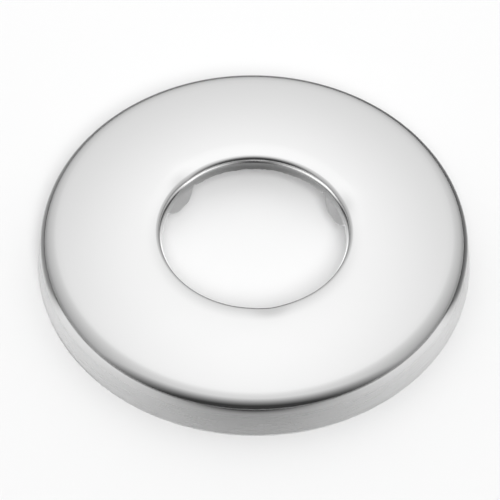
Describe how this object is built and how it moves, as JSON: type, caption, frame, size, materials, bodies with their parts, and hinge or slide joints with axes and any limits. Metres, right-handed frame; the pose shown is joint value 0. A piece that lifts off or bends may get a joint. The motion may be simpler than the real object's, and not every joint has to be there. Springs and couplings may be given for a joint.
{
  "type": "pipe rosette",
  "caption": "Flat round cover ring of pressed stainless sheet with a turned-in collar and gripping tongues, slid over a pipe to hide its wall hole.",
  "frame": {"origin": "centre of the foot plane, where the skirt meets the wall, on the axis of the pipe hole", "axes": "+Z along the pipe, out of the wall; one tongue points along -Y, the others 120 degrees to each side of it"},
  "size_m": [0.08, 0.08, 0.0089],
  "materials": {
    "polished_sheet": "polished stainless sheet"
  },
  "bodies": {
    "root": {"rosette": "polished_sheet"}
  },
  "joints": []
}
